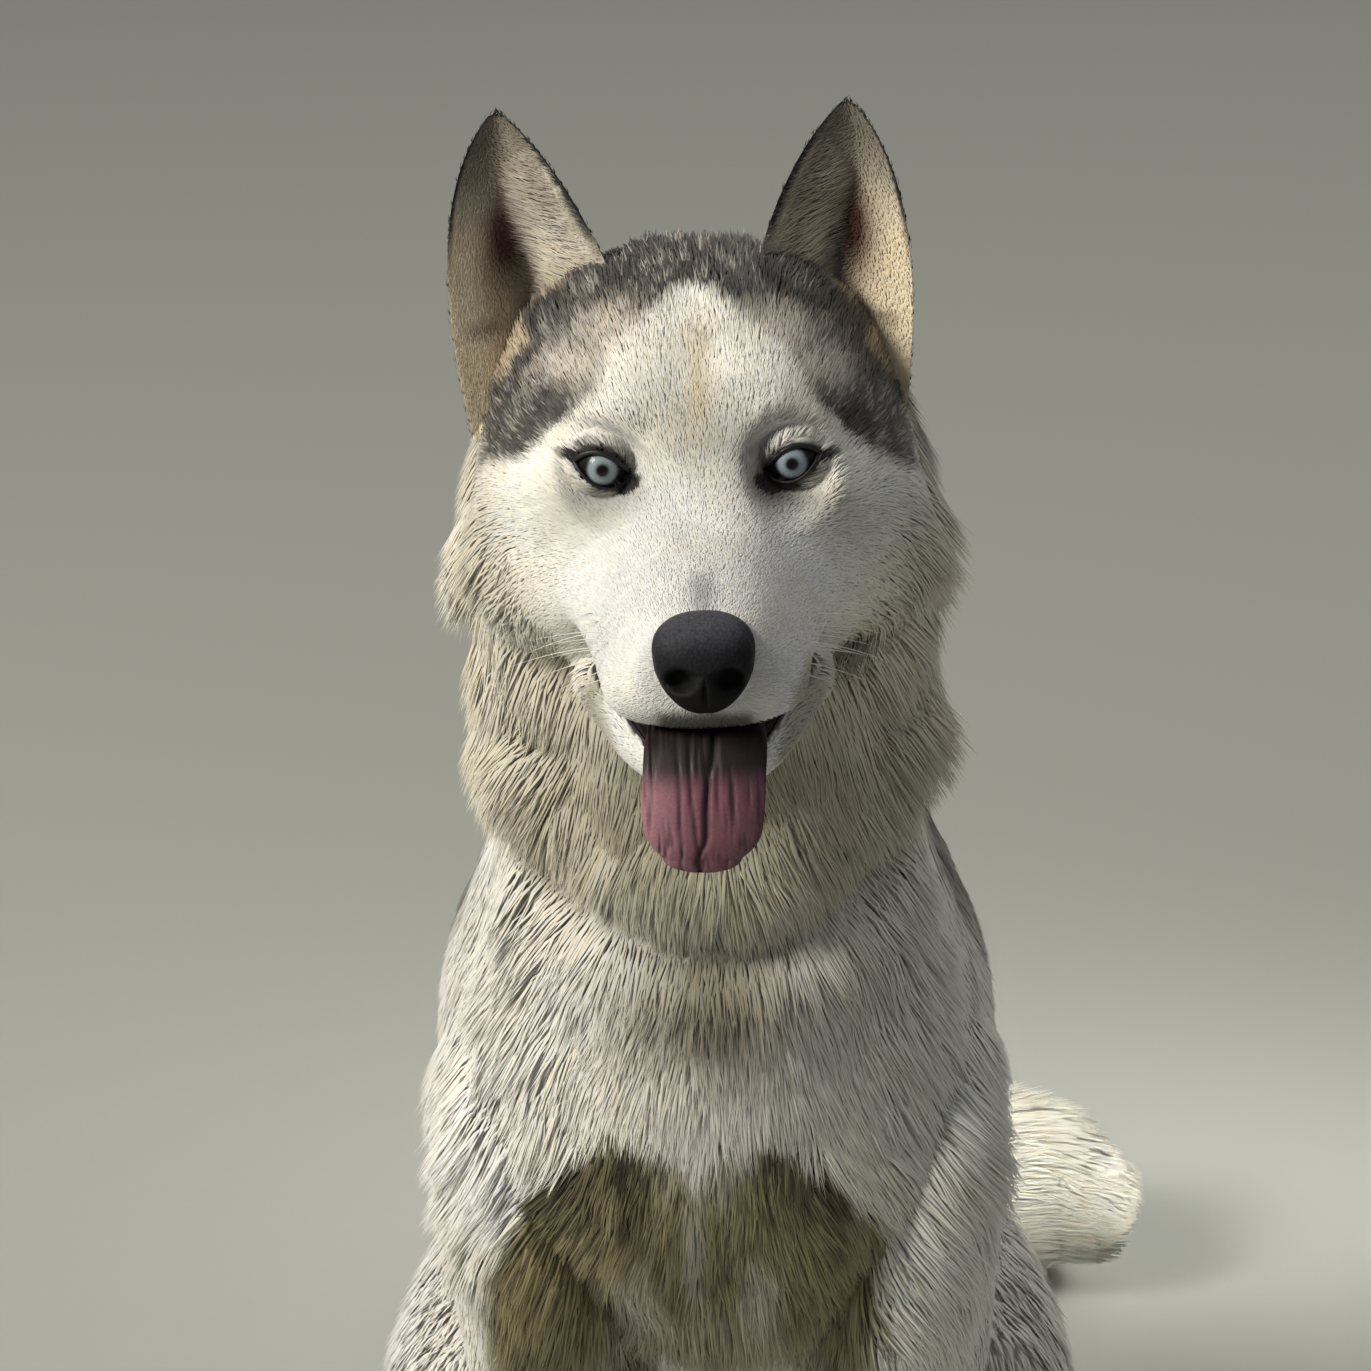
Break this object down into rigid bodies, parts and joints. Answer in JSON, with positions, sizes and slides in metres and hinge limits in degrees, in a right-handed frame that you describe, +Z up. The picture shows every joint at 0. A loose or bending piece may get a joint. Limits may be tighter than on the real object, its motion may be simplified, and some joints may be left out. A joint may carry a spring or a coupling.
{
  "type": "siberian husky, sitting",
  "caption": "Life-size sitting Siberian husky, facing forward, ears up, mouth open with the tongue out, tail laid on the floor.",
  "frame": {"origin": "on the floor, under the middle of the dog's box", "axes": "+Z up, -Y the way the dog faces, +X the dog's left"},
  "size_m": [0.374, 0.7908, 0.7702],
  "materials": {
    "face_fur": "short soft fur, white with a grey cap",
    "ruff_fur": "long soft fur, cream to grey",
    "body_fur": "long soft fur, white chest and grey back",
    "leg_fur": "short to middling fur, white",
    "tail_fur": "long brush, cream white",
    "ear_fur": "short fur, dark rims",
    "nose_leather": "damp, finely pebbled",
    "tongue": "wet",
    "eyes": "polished, pale blue"
  },
  "bodies": {
    "root": {"head": "face_fur", "neck": "ruff_fur", "nose": "nose_leather", "tongue": "tongue", "jaw": "face_fur", "eye_left": "eyes", "ear_left": "ear_fur", "eye_right": "eyes", "ear_right": "ear_fur", "foreleg_left": "leg_fur", "forepaw_left": "leg_fur", "thigh_left": "leg_fur", "hind_leg_left": "leg_fur", "hind_paw_left": "leg_fur", "foreleg_right": "leg_fur", "forepaw_right": "leg_fur", "thigh_right": "leg_fur", "hind_leg_right": "leg_fur", "hind_paw_right": "leg_fur", "torso": "body_fur", "tail_root": "tail_fur", "tail_tip": "tail_fur"}
  },
  "joints": []
}
